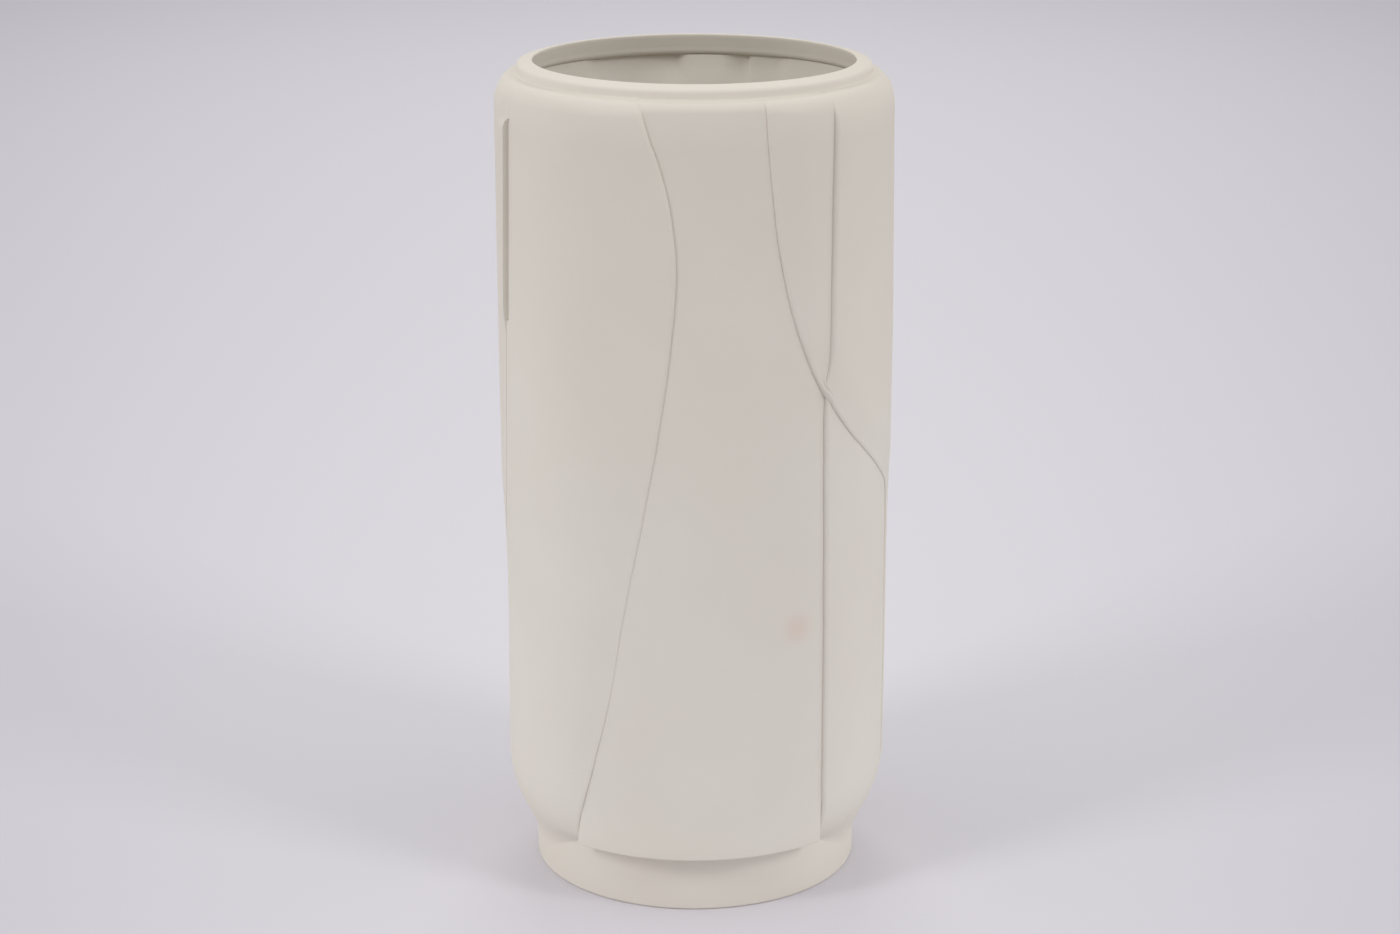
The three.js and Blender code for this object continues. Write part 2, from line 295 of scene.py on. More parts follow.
def put(piece, first, place):
    """Move the vertices from first on to where place(column, row) says."""
    columns = [item.value for item in piece.data.attributes["column"].data]
    rows = [item.value for item in piece.data.attributes["row"].data]
    for vertex in piece.data.vertices[first:]:
        vertex.co = place(columns[vertex.index], rows[vertex.index])


# %% [markdown]
# The outside section
#
# Seen from the side, the vase rounds in below to its foot, rises straight, rounds over the shoulder and ends on the
# ledge under the collar. A sheet follows the same section, only further out. One function gives that section for any
# height of relief, so that every sheet runs into the foot and the collar without a gap. Below, the section is an S at
# the sides, and beside the front panel it is blended into a fuller one that tucks in late.

# %% Rows up the straight part
straight_steps = 112
tip_row_shares = (0, 0.03, 0.12, 0.26, 0.5, 0.75, 1)
top_row_shares = (0, 0.04, 0.15, 0.35, 0.7)
above_slot = 0.0005
slot_bottom, slot_top = (share * vase_height for share in slot_height_shares)
tip_rows = [slot_bottom + slot_tip_length * share for share in tip_row_shares]
top_rows = [slot_top - slot_top_length * share for share in top_row_shares]


def shoulder_size(proud):
    """The shoulder's top, reach and drop, for a skin that stands this far out from the front panel."""
    top = ledge_height + ledge_rise_share * proud
    reach = shoulder_reach + shoulder_reach_share * proud
    drop = shoulder_drop + proud * (shoulder_drop_share + shoulder_sag_share * proud / sheet_thickness)
    return top, reach, drop


straight_top = slot_top + above_slot
straight_rise = straight_top - belly_height
straight_rows = [belly_height + straight_rise * step / straight_steps for step in range(1, straight_steps)]
straight_rows = sorted(straight_rows + tip_rows + top_rows)
print(f"{len(straight_rows)} straight rows")

# %% Section of the outside
belly_steps = 17
fillet_steps = 5
shoulder_steps = 12
side_belly = 0.014, 0.37, 0.5
front_belly = 0.002, 0.05, 0.86
front_reach = 30
collar_fillet = 0.0009
skin_digits = 7


def smooth(share):
    """A soft step from 0 to 1, at a share of its width."""
    place = min(max(share, 0), 1)
    return place * place * (3 - 2 * place)


def belly(proud, tuck, foot_sweep, belly_sweep):
    """Points on the S from the foot up to the straight part, for a skin that stands this far out. It starts inside
    the foot, lower by the tuck, and the sweeps are how far it goes upright at either end, as shares of its height."""
    base = foot_radius - sunk
    reach = panel_radius + proud - base
    start = foot_height - proud - tuck
    rise = belly_height - start
    points = []
    for step in range(belly_steps + 1):
        share = step / belly_steps
        leaving, arriving = 3 * (1 - share) ** 2 * share, 3 * (1 - share) * share ** 2
        across = arriving + share ** 3
        up = leaving * foot_sweep + arriving * (1 - belly_sweep) + share ** 3
        points.append((base + reach * across, start + rise * up))
    return points


def rising_section(proud):
    """Points of radius and height up the outside, for a skin that stands this far out from the front panel."""
    radius = panel_radius + proud
    top, reach, drop = shoulder_size(proud)

    def climbed(height):
        return max(height - (top - drop), 0) / drop

    straight = [(radius - reach * (1 - math.sqrt(1 - climbed(height) ** 2)), height) for height in straight_rows]
    turn = math.degrees(math.asin(climbed(straight_top)))
    fillet = (collar_fillet, collar_fillet)
    return [
        *belly(proud, *side_belly),
        *straight,
        *arc((radius - reach, top - drop), (reach, drop), turn, 90, shoulder_steps),
        *arc((collar_radius + collar_fillet, top + collar_fillet), fillet, 270, 180, fillet_steps),
        (collar_radius - 2 * sunk, top + collar_fillet),
    ]


skins = {}


def on_skin(angle, row, proud):
    """A place on the outside. The sections are kept, so how far the skin stands out is rounded first."""
    proud = round(proud, skin_digits)
    if proud not in skins:
        skins[proud] = rising_section(proud), belly(proud, *front_belly)
    section, full = skins[proud]
    radius, height = section[row]
    if row < belly_steps:
        from_panel = max(left_front(height) - angle, angle - right_front(height))
        fullness = 1 - smooth(from_panel / front_reach)
        radius += (full[row][0] - radius) * fullness
        height += (full[row][1] - height) * fullness
    return around(angle, radius, height)


row_count = len(rising_section(0))
print(f"{row_count} rows up the outside")

# %% [markdown]
# The relief
#
# A sheet's edge is cut square, and a wet sponge rounds its upper corner and leaves the inner corner sharp. That
# sharp corner holds the thin dark line that draws the relief. Towards some edges the clay was also rolled thinner,
# and there the line is faint. The edge could be rounded with a bevel, but columns run close together where the
# diagonal sweeps across, and a bevel needs room. So each vertex asks how far it is from the edge, and sinks by a
# quarter of an ellipse.

# %% Height of the relief
edge_width = 0.0014
edge_face_share = 0.3
feather_width = 0.012
lap_width = 0.0015
lap_foot = lap_width + 0.0003
degrees_per_metre = 1 / (panel_radius * math.radians(1))
slope_step = 0.0005


def rounded_rise(share):
    """How far a rounded step has risen, from 0 at its foot to 1 on top, at a share of its width."""
    place = min(max(share, 0), 1)
    return math.sqrt(1 - (1 - place) ** 2)


def edge_rise(from_edge, face_share=edge_face_share, width=edge_width):
    """How much of a sheet's thickness there is at a distance from its edge."""
    return face_share + (1 - face_share) * rounded_rise(from_edge / width)


def feathered(rise, from_edge, share):
    """Thin a sheet towards an edge, down to a share of its thickness there."""
    return rise * (share + (1 - share) * smooth(from_edge / feather_width))


def squeeze(edge, height):
    """How much nearer an edge that runs slantwise is than it seems along the row."""
    run = (edge(height + slope_step) - edge(height - slope_step)) / degrees_per_metre / (2 * slope_step)
    return 1 / math.sqrt(1 + run * run)


# %% Columns across a sheet
least_gap = 0.00004 * degrees_per_metre


def spaced(start, end, steps, kind):
    """Angles from start up to end, left out: even, or close together where a rounded step is steep."""
    shares = [step / steps for step in range(steps)]
    if kind == "rise":
        shares = [1 - math.cos(share * math.pi / 2) for share in shares]
    if kind == "fall":
        shares = [math.sin(share * math.pi / 2) for share in shares]
    return [start + (end - start) * share for share in shares]


def columns_between(stops, spans):
    """Angles of the columns. Each span has its steps and kind, and a stop that an edge has passed is pushed on."""
    angles = []
    start = stops[0]
    for stop, (steps, kind) in zip(stops[1:], spans):
        end = max(stop, start + steps * least_gap)
        angles += spaced(start, end, steps, kind)
        start = end
    return [*angles, start]


# %% [markdown]
# Pressing a sheet on
#
# A sheet is a slab with two faces. The upper one carries the relief, and the underside lies on whatever is beneath,
# sunk into it by a hair so that no light gets through. The Solidify modifier gives the slab its second face and its
# rim. The second half of the vertices, which are the underside, are then pressed into place.

# %% Helper for the sheets
row_heights = [height for _, height in rising_section(sheet_thickness)]


def pressed_sheet(name, stops_at, spans, upper, under, open_span=None):
    """Lay, thicken and press a sheet. upper and under give how far its faces stand out, at an angle and a height.
    The slot is cut in the span of columns that open_span numbers."""
    layouts = [columns_between(stops_at(height), spans) for height in row_heights]

    def placed(face):
        def place(column, row):
            angle = layouts[row][column]
            return on_skin(angle, row, face(angle, row_heights[row]))
        return place

    columns = len(layouts[0])
    piece = slab(name, columns, row_count, placed(upper))

    if open_span is not None:
        first = sum(steps for steps, _ in spans[:open_span])
        last = first + spans[open_span][0]

        def in_slot(polygon):
            corners = [(vertex % columns, row_heights[vertex // columns]) for vertex in polygon.vertices]
            return all(
                first <= column <= last and slot_bottom - tiny < height < slot_top + tiny
                for column, height in corners
            )

        select_only(piece, "FACE", in_slot)
        bpy.ops.mesh.delete(type="FACE")
        bpy.ops.object.mode_set(mode="OBJECT")
    upper_count = len(piece.data.vertices)
    modifier = piece.modifiers.new("underside", "SOLIDIFY")
    modifier.thickness = sheet_thickness
    modifier.offset = -1
    bpy.ops.object.modifier_apply(modifier=modifier.name)
    put(piece, upper_count, placed(under))
    return tidy(piece)


# %% [markdown]
# Left sheet
#
# This sheet runs from the long curved edge beside the panel round to the back. A narrow slot was cut in it along the
# outer sheet's far edge, so that both sheets end there in one tall face. It could be faked with a dark stripe, but
# only a real opening keeps its shadow from every side.

# %% Left sheet
edge_turn = edge_width * degrees_per_metre
slot_turn = slot_width * degrees_per_metre
left_edge_share = by_height([
    (0.07, 0.8), (0.15, 0.6), (0.25, 0.3), (0.4, 0.3), (0.55, 0.45), (0.7, 0.6), (0.85, 0.75), (0.985, 0.9),
])


def slot_sides(height):
    """Angles of the slot's two sides. It narrows to a tip below, and both sides round in above."""
    start = back_left(height) - 360
    tip = rounded_rise((height - slot_bottom) / slot_tip_length)
    crown = slot_turn * (1 - rounded_rise((slot_top - height) / slot_top_length))
    return start + crown / 2, start + slot_turn * tip - crown / 2 * tip


def left_stops(height):
    front = left_front(height)
    front_turn = edge_turn / squeeze(left_front, height)
    slot_start, slot_end = slot_sides(height)
    return [
        left_back_angle, left_back_angle + edge_turn, slot_start, slot_end, slot_end + edge_turn,
        front - front_turn, front,
    ]


left_spans = [(6, "rise"), (66, "even"), (3, "even"), (7, "rise"), (34, "even"), (8, "fall")]


def left_upper(angle, height):
    from_back = (angle - left_back_angle) / degrees_per_metre
    from_front = (left_front(height) - angle) / degrees_per_metre * squeeze(left_front, height)
    rise = min(edge_rise(from_back), feathered(edge_rise(from_front), from_front, left_edge_share(height)))
    slot_end = slot_sides(height)[1]
    if slot_bottom < height < slot_top and angle > slot_end - tiny:
        rise = min(rise, edge_rise((angle - slot_end) / degrees_per_metre))
    return sheet_thickness * rise


left_sheet = pressed_sheet(
    "left_relief_sheet", left_stops, left_spans, left_upper, lambda angle, height: -sunk, open_span=2
)

# %% [markdown]
# Right sheet
#
# The right sheet has one upright edge at the front and runs round to the back, most of it under the outer sheet.
# Where it goes under, its front edge jogs a little to the right. It has the simplest layout: a rounded edge, an even
# field and a rounded edge.

# %% Right sheet
def right_stops(height):
    front = right_front(height)
    return [front, front + edge_turn, right_back_angle - edge_turn, right_back_angle]


def right_upper(angle, height):
    from_edge = min(angle - right_front(height), right_back_angle - angle) / degrees_per_metre
    return sheet_thickness * edge_rise(from_edge)


right_sheet = pressed_sheet(
    "right_relief_sheet",
    right_stops,
    [(8, "rise"), (78, "even"), (8, "fall")],
    right_upper,
    lambda angle, height: -sunk,
)

# %% [markdown]
# Outer sheet
#
# The outer sheet went on last. Its front edge rises straight, swings across the right sheet in one diagonal and
# meets the shoulder, and its far edge ends beside the slot. Where it passes over the edge of another sheet the clay
# was pressed down behind it, which leaves a soft step. A shrinkwrap would follow what is beneath too closely and copy
# its sharp edge, so the step is worked out from the distance to the covered edge.

# %% Outer sheet
lap_turn = lap_foot * degrees_per_metre
lap_rise_turn = lap_width * degrees_per_metre
side_angle = 100
far_face_share = 0.75
far_edge_width = 0.002
far_turn = 0.0024 * degrees_per_metre
thinning_length = 0.012
fade_start = 0.003
fade_length = 0.003
fade_width = 0.011
diagonal_share = by_height([
    (0.07, 0.45), (0.4, 0.45), (0.55, 0.5), (0.65, 0.7), (0.8, 0.7), (0.9, 0.5), (0.985, 0.5),
])
far_share = 0.27


def covered(angle, height):
    """How far, in metres, a place is inside the sheets beneath."""
    over_right = min(angle - right_front(height), right_back_angle - angle)
    over_left = angle - left_back_angle - 360
    return max(over_right, over_left) / degrees_per_metre


def outer_under(angle, height):
    return sheet_thickness * rounded_rise(covered(angle, height) / edge_width) - sunk


def far_rise(from_far, height):
    """The far edge is square beside the slot and thin below it. Above, a thumb smeared it into the sheet beneath."""
    thin = feathered(edge_rise(from_far, edge_face_share, far_edge_width), from_far, far_share)
    square = edge_rise(from_far, far_face_share)
    edge = thin + (square - thin) * smooth((height - slot_bottom) / thinning_length + 0.5)
    smeared = smooth(from_far / fade_width)
    return edge + (smeared - edge) * smooth((height - slot_top + fade_start) / fade_length)


def outer_upper(angle, height):
    level = sheet_thickness * (1 + rounded_rise((covered(angle, height) + lap_foot) / lap_width))
    from_front = (angle - back_right(height)) / degrees_per_metre * squeeze(back_right, height)
    from_far = (back_left(height) - angle) / degrees_per_metre * squeeze(back_left, height)
    seat = outer_under(angle, height) + sunk
    front_rise = feathered(edge_rise(from_front), from_front, diagonal_share(height))
    rise = min(front_rise, far_rise(from_far, height))
    return seat + (level - seat) * rise


def outer_stops(height):
    front, far = back_right(height), back_left(height)
    front_turn = edge_turn / squeeze(back_right, height)
    lap = right_front(height) - lap_turn
    fall, rise = right_back_angle + lap_turn, left_back_angle + 360 - lap_turn
    return [
        front, front + front_turn, lap, lap + lap_rise_turn,
        side_angle, fall - lap_rise_turn, fall, rise, rise + lap_rise_turn, far - far_turn, far,
    ]


outer_spans = [
    (9, "rise"), (14, "even"), (9, "rise"), (40, "even"), (42, "even"), (7, "fall"), (14, "even"), (7, "rise"),
    (54, "even"), (8, "fall"),
]
outer_sheet = pressed_sheet("outer_relief_sheet", outer_stops, outer_spans, outer_upper, outer_under)

# %% [markdown]
# Body wall
#
# The wall is the cylinder that carries the sheets. Its bare front panel drops straight and ends in an apron that
# overhangs the foot, and everywhere else the wall rounds in. Inside, it thickens towards the top to back the collar,
# and was hollowed there by hand, deeper in some places than in others, which shows through the mouth. A tube with a
# Solidify modifier would have the same thickness all over, so the wall is one slab that is laid up the outside, over
# the top and down the inside.

# %% Sizes of the wall
wall_seam_angle = -180
step_width = 0.0008
step_turn = step_width * degrees_per_metre
inner_step_angle = 160.5
slot_margin = 0.002 * degrees_per_metre
slot_fill = 0.0009
backing_base = 0.235
backing_rise = 0.0265
collar_lean = 0.0018
backing_radius = mouth_radius + collar_lean
cove_base = 0.2575
cove_rise = 0.0125
cove_rows = 18
hollow_places = [
    (-180, 0.0016), (-42, 0.002), (-34, 0.0042), (-7, 0.0042), (-2, 0.0015), (9, 0.0015), (18.5, 0.0042),
    (20.5, 0.0026), (30, 0.003), (36, 0.0018), (180, 0.0016),
]
apron_edge = 0.0005
apron_flat_steps = 5
apron_corner_steps = 6
apron_rows = belly_steps
inner_foot_edge = 0.001
inner_belly_start = -80
inner_belly_steps = 10
inside_rows = 56
set_back_ramp = 0.004
print(f"the wall is {inner_radius:.4f} inside")

# %% Outside of the wall
def wall_stops(height):
    slot_start, slot_end = slot_sides(height)
    stops = [wall_seam_angle, left_back_angle - step_turn, left_back_angle + step_turn]
    stops += [slot_start - slot_margin, slot_end + slot_margin]
    for key in (left_front(height), right_front(height), inner_step_angle):
        stops += [key - step_turn, key + step_turn]
    return [*stops, wall_seam_angle + 360]


wall_spans = [
    (8, "even"), (6, "even"), (60, "even"), (6, "even"), (40, "even"), (8, "even"), (52, "even"), (8, "even"),
    (76, "even"), (6, "even"), (14, "even"),
]


def apron_section():
    """Points from the foot, out along the apron's underside, round its edge and up to the straight wall."""
    centre = (panel_radius - apron_edge, foot_height + apron_edge)
    corner = arc(centre, (apron_edge, apron_edge), 270, 360, apron_corner_steps)
    base = foot_radius - sunk
    out = [(base + (centre[0] - base) * step / apron_flat_steps, foot_height) for step in range(apron_flat_steps)]
    climb = apron_rows - len(out) - len(corner)
    rise = belly_height - foot_height - apron_edge
    up = [(panel_radius, foot_height + apron_edge + rise * step / climb) for step in range(1, climb + 1)]
    return [*out, *corner, *up]


wall_rows = apron_rows + len(straight_rows) + 2
wall_heights = [height for _, height in rising_section(0)[:wall_rows]]
wall_layouts = [columns_between(wall_stops(height), wall_spans) for height in wall_heights]
apron = apron_section()
print(f"{wall_rows} rows up the outside of the wall")


def risen(angle, height):
    """How far the wall's soft clay rose into the slot when the sheet was pressed on."""
    slot_start, slot_end = slot_sides(height)
    across = smooth((angle - slot_start) / slot_margin + 1) * smooth((slot_end - angle) / slot_margin + 1)
    upright = smooth((height - slot_bottom) / slot_top_length + 1) * smooth((slot_top - height) / slot_top_length + 1)
    return slot_fill * across * upright


def wall_outside(column, row):
    angle = wall_layouts[row][column]
    height = wall_heights[row]
    on_apron = left_front(height) + tiny < angle < right_front(height) - tiny
    if on_apron and row < apron_rows:
        return around(angle, *apron[row])
    return on_skin(angle, row, risen(angle, height))


# %% Inside of the wall
def set_back(angle, height):
    """How far the inside is cut back behind the two front sheets, with its steps and lower end softened."""
    left = min(angle - left_back_angle, left_front(height) - angle)
    right = min(angle - right_front(height), inner_step_angle - angle)
    across = 0.5 + max(left, right) / (2 * step_turn)
    up = (height - belly_height) / set_back_ramp
    return sheet_thickness * smooth(across) * smooth(up)


def hollow(angle):
    """How far the inside lies behind the collar's lower edge, at an angle from the middle of the far side."""
    from_far = (180 - angle) if angle > 0 else -(180 + angle)
    step = next(i for i in range(len(hollow_places) - 1) if from_far <= hollow_places[i + 1][0])
    (start, shallow), (end, deep) = hollow_places[step], hollow_places[step + 1]
    return shallow + (deep - shallow) * smooth((from_far - start) / (end - start))


inner_floor = foot_height + wall_thickness
inner_belly_centre = (inner_radius - inner_belly_reach, belly_height)
inner_belly_size = (inner_belly_reach, belly_height - inner_floor)
inner_section = [
    (foot_bore, foot_height),
    (foot_bore, inner_floor - inner_foot_edge),
    *arc(inner_belly_centre, inner_belly_size, inner_belly_start, 0, inner_belly_steps),
]
for base, top, rows in ((belly_height, cove_base, inside_rows), (cove_base, wall_top, cove_rows)):
    inner_section += [(inner_radius, base + (top - base) * step / rows) for step in range(1, rows + 1)]
inner_layouts = [columns_between(wall_stops(height), wall_spans) for _, height in inner_section]


def wall_inside(column, row):
    angle = inner_layouts[row][column]
    radius, height = inner_section[row]
    plain = radius + set_back(angle, height)
    cove = smooth((height - cove_base) / cove_rise)
    backed = backing_radius + hollow(angle) * cove
    return around(angle, plain + (backed - plain) * smooth((height - backing_base) / backing_rise), height)


print(f"{len(inner_section)} rows down the inside of the wall")

# %% Body wall
wall_ring = [("outside", row) for row in range(wall_rows)]
wall_ring += [("inside", row) for row in reversed(range(len(inner_section)))]
wall_ring.append(wall_ring[0])


def wall_place(column, row):
    face, face_row = wall_ring[row]
    return wall_outside(column, face_row) if face == "outside" else wall_inside(column, face_row)


cast_wall = tidy(slab("cast_wall", len(wall_layouts[0]), len(wall_ring), wall_place))

# %% [markdown]
# Foot and floor
#
# The foot is a plain turned wall whose outer edge is rounded where it stands. The floor is a disc inside it, set up
# a little so that it never touches the table, and its upper side is dished into the wall by a wet sponge.

# %% Foot and floor
foot_edge = 0.0009
foot_inner_edge = 0.0005
foot_top_band = 0.002
floor_seat = 0.002
floor_corner = 0.0035
dish_depth = 0.0004
halfway_dish_depth = 0.0003
rebate = foot_bore - floor_seat

foot = turned_piece("turned_foot", [
    *arc((foot_radius - foot_edge, foot_edge), (foot_edge, foot_edge), 270, 360, 6),
    (foot_radius, foot_height - foot_top_band),
    (foot_radius, foot_height),
    (foot_bore, foot_height),
    (foot_bore, floor_base),
    (rebate, floor_base),
    *arc((rebate + foot_inner_edge, foot_inner_edge), (foot_inner_edge, foot_inner_edge), 180, 270, 4),
])
floor_disc = turned_piece("dished_floor", [
    (0, floor_base),
    (foot_bore, floor_base),
    (foot_bore, floor_top + floor_corner),
    *arc((foot_bore - floor_corner, floor_top + floor_corner), (floor_corner, floor_corner), 0, -90, 8)[1:],
    (foot_bore / 2, floor_top - halfway_dish_depth),
    (0, floor_top - dish_depth),
])

# %% [markdown]
# Shoulder, collar and lip
#
# Three turned rings close the top. The shoulder carries the ledge, the collar stands upright on it in a soft corner,
# and the lip slopes down a little from the mouth to a rounded outer edge, which is what catches the light. Inside,
# the mouth widens downwards, so its face lies in a light shade of its own.

# %% Shoulder, collar and lip
mouth_edge = 0.0025
lip_slope = 0.0009
lip_reach = 0.0014
lip_drop = 0.0013
lip_inner_round = 0.0005
lip_top_angle = 76
collar_slack = 0.0001
seated_radius = collar_radius - 4 * sunk
mouth_top = vase_height - lip_inner_round
lean_base = wall_top + mouth_edge
round_centre = (collar_radius - collar_slack - lip_reach, vase_height - lip_slope - lip_drop)
round_start = math.degrees(math.asin((lip_base - round_centre[1]) / lip_drop))


def mouth_at(height):
    """The radius of the mouth's inside, which widens a little from the lip down to the shoulder's underside."""
    return mouth_radius + collar_lean * (mouth_top - height) / (mouth_top - lean_base)


shoulder = turned_piece("rounded_shoulder", [
    (backing_radius + mouth_edge, wall_top),
    (panel_radius, wall_top),
    *arc((panel_radius - shoulder_reach, wall_top), (shoulder_reach, shoulder_drop), 0, 90, shoulder_steps)[1:],
    *arc((collar_radius + collar_fillet, ledge_height + collar_fillet), (collar_fillet, collar_fillet), 270, 180, 8),
    (seated_radius, ledge_height + collar_fillet),
    (seated_radius, ledge_height),
    (mouth_at(ledge_height), ledge_height),
    *arc((backing_radius + mouth_edge, lean_base), (mouth_edge, mouth_edge), 180, 270, 5)[:-1],
])
collar = turned_piece("short_collar", [
    (mouth_at(ledge_height), ledge_height),
    (collar_radius, ledge_height),
    *arc(round_centre, (lip_reach, lip_drop), 0, round_start, 4),
    (mouth_at(lip_base), lip_base),
])
lip = turned_piece("soft_lip", [
    (mouth_at(lip_base), lip_base),
    *arc(round_centre, (lip_reach, lip_drop), round_start, lip_top_angle, 7),
    *arc((mouth_radius + lip_inner_round, mouth_top), (lip_inner_round, lip_inner_round), lip_top_angle, 180, 6),
])

# %% [markdown]
# Unevenness of the clay
#
# No cast and hand-worked pot is quite round. This one is a little fuller low down, more so on the right, its wall
# swells and sinks by less than a tenth of a millimetre, and its cut edges waver by about as much. Each piece could be
# roughened on its own, but then the seams would open. So all pieces are warped by one field that depends only on
# where a place is, and what touched before still touches.

# %% Unevenness
right_fullness = by_height([
    (0, 0.014), (0.1, 0.015), (0.25, 0.015), (0.45, 0.012), (0.7, 0.011), (0.82, 0.005), (0.93, 0), (1, 0),
])
left_fullness = by_height([(0, 0.008), (0.1, 0.006), (0.25, 0.003), (0.45, 0), (1, 0)])
swell_size, swell_depth = 0.028, 0.00008
ripple_size, ripple_depth = 0.008, 0.000018
waver_size, waver_width = 0.012, 0.00016
waver_shift = Vector((0.31, 0.17, 0.23))


def uneven(place):
    """Where a place on the even vase lies on the hand-worked one."""
    outward = Vector((place.x, place.y, 0))
    if outward.length < tiny:
        return place
    outward.normalize()
    along = Vector((-outward.y, outward.x, 0))
    swell = noise.noise(place / swell_size) * swell_depth + noise.noise(place / ripple_size) * ripple_depth
    waver = noise.noise((place + waver_shift) / waver_size) * waver_width
    moved = place + outward * swell + along * waver
    fullness = right_fullness if moved.x > 0 else left_fullness
    moved.x *= 1 + fullness(place.z)
    return moved


pieces = [foot, floor_disc, cast_wall, left_sheet, right_sheet, outer_sheet, shoulder, collar, lip]
for piece in pieces:
    for vertex in piece.data.vertices:
        vertex.co = uneven(vertex.co)
print(f"{len(pieces)} pieces made uneven")

# %% [markdown]
# Bisque porcelain
#
# Unglazed porcelain is a warm white with no gloss. Close to, it has a fine dry grain, and its tone drifts a little
# over a hand's width. The colour is also painted a little darker up the wall than at the foot, as painted shade where
# less light from the paper reaches, and lighter again at the ledge and lip, as painted light falling from above. One
# flat colour would look like plastic. So the colour is read from the height and multiplied by a slow noise, and the
# grain is a fine noise that also lifts the surface. The patterns read object coordinates, and every piece sits at the
# origin, so they run on from one piece to the next as they do on one body of clay.

# %% Helpers for finishes
def feed(tree, socket, value):
    """Give a socket a constant, or link it to the output of another node."""
    if isinstance(value, bpy.types.NodeSocket):
        tree.links.new(value, socket)
    else:
        socket.default_value = value


def worked_out(tree, operation, *values):
    """A Math node in a node tree, whose values are numbers or the outputs of other nodes."""
    node = tree.nodes.new("ShaderNodeMath")
    node.operation = operation
    for socket, value in zip(node.inputs, values):
        feed(tree, socket, value)
    return node.outputs["Value"]


def mixed(tree, factor, first, second, blend="MIX"):
    """A Mix node for two colours."""
    node = tree.nodes.new("ShaderNodeMix")
    node.data_type = "RGBA"
    node.blend_type = blend
    feed(tree, node.inputs["Factor"], factor)
    feed(tree, node.inputs["A"], first)
    feed(tree, node.inputs["B"], second)
    return node.outputs["Result"]


def ramp(tree, share, stops):
    """A Color Ramp node with a colour at each of its places."""
    node = tree.nodes.new("ShaderNodeValToRGB")
    elements = node.color_ramp.elements
    for place, _ in stops[2:]:
        elements.new(place)
    for element, (place, colour) in zip(elements, stops):
        element.position = place
        element.color = (*colour, 1)
    tree.links.new(share, node.inputs["Fac"])
    return node.outputs["Color"]


def pattern(tree, where, scale, detail):
    """A Noise Texture node."""
    node = tree.nodes.new("ShaderNodeTexNoise")
    node.inputs["Scale"].default_value = scale
    node.inputs["Detail"].default_value = detail
    tree.links.new(where, node.inputs["Vector"])
    return node.outputs["Fac"]


# %% Parts of the finish
# Painted shade and light by height: the tone darkens up the wall where less light reaches, and lightens again at the
# ledge and lip, where light falls from above.
painted_shade_by_height = [
    (0, (0.793, 0.747, 0.674)), (0.06, (0.786, 0.742, 0.67)), (0.13, (0.776, 0.74, 0.677)),
    (0.3, (0.771, 0.734, 0.674)), (0.54, (0.747, 0.709, 0.645)), (0.72, (0.726, 0.681, 0.612)),
    (0.93, (0.697, 0.653, 0.587)), (0.985, (0.742, 0.697, 0.627)), (1, (0.749, 0.703, 0.633)),
]
drift_tones = [(0.3, (0.973, 0.96, 0.944)), (0.7, (1, 1, 1))]
drift_scale, drift_detail = 16, 3
grain_size, grain_detail = 0.0006, 2
grain_depth, grain_strength = 0.00003, 0.6
stain_colour = (0.7, 0.48, 0.39, 1)
stain_place = around(32.5, panel_radius, 0.1005)
stain_radius = 0.0085
stain_strength = 0.3
specular_level = 0.25


def painted_shade_and_drift_tone(tree, where):
    """The tone at a height, painted darker up the wall as painted shade and lighter at the ledge and lip as painted
    light, multiplied by the slow drift.
    """
    up = tree.nodes.new("ShaderNodeSeparateXYZ")
    tree.links.new(where, up.inputs["Vector"])
    painted_tone = ramp(tree, worked_out(tree, "DIVIDE", up.outputs["Z"], vase_height), painted_shade_by_height)
    drifted = ramp(tree, pattern(tree, where, drift_scale, drift_detail), drift_tones)
    return mixed(tree, 1, painted_tone, drifted, "MULTIPLY")


def grain(tree, where):
    """The direction of the surface where the fine grain lifts it."""
    lift = tree.nodes.new("ShaderNodeBump")
    lift.inputs["Strength"].default_value = grain_strength
    lift.inputs["Distance"].default_value = grain_depth
    tree.links.new(pattern(tree, where, 1 / grain_size, grain_detail), lift.inputs["Height"])
    return lift.outputs["Normal"]


def stain(tree, where):
    """How strongly the one faint stain on the panel shows."""
    from_stain = tree.nodes.new("ShaderNodeVectorMath")
    from_stain.operation = "DISTANCE"
    from_stain.inputs[1].default_value = stain_place
    tree.links.new(where, from_stain.inputs[0])
    fade = tree.nodes.new("ShaderNodeMapRange")
    fade.interpolation_type = "SMOOTHSTEP"
    fade.inputs["From Min"].default_value = 0
    fade.inputs["From Max"].default_value = stain_radius
    fade.inputs["To Min"].default_value = stain_strength
    fade.inputs["To Max"].default_value = 0
    tree.links.new(from_stain.outputs["Value"], fade.inputs["Value"])
    return fade.outputs["Result"]


# %% Porcelain finish
def porcelain(name, roughness):
    material = bpy.data.materials.new(name)
    material.use_nodes = True
    tree = material.node_tree
    shader = tree.nodes["Principled BSDF"]
    shader.inputs["Roughness"].default_value = roughness
    shader.inputs["Specular IOR Level"].default_value = specular_level
    where = tree.nodes.new("ShaderNodeTexCoord").outputs["Object"]
    stained = mixed(tree, stain(tree, where), painted_shade_and_drift_tone(tree, where), stain_colour)
    tree.links.new(stained, shader.inputs["Base Color"])
    tree.links.new(grain(tree, where), shader.inputs["Normal"])
    print(f"material {name}")
    return material


body_finish = porcelain("bisque_body", 0.85)
sheet_finish = porcelain("bisque_sheet", 0.85)
rim_finish = porcelain("bisque_rim", 0.8)

# %% [markdown]
# In the nodes' places
#
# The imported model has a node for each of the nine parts, and a piece made here now stands in for each. The packed
# meshes could be dressed instead, but their plain edges would show. The counts of columns and rows that the sheets
# remembered have done their work and go.

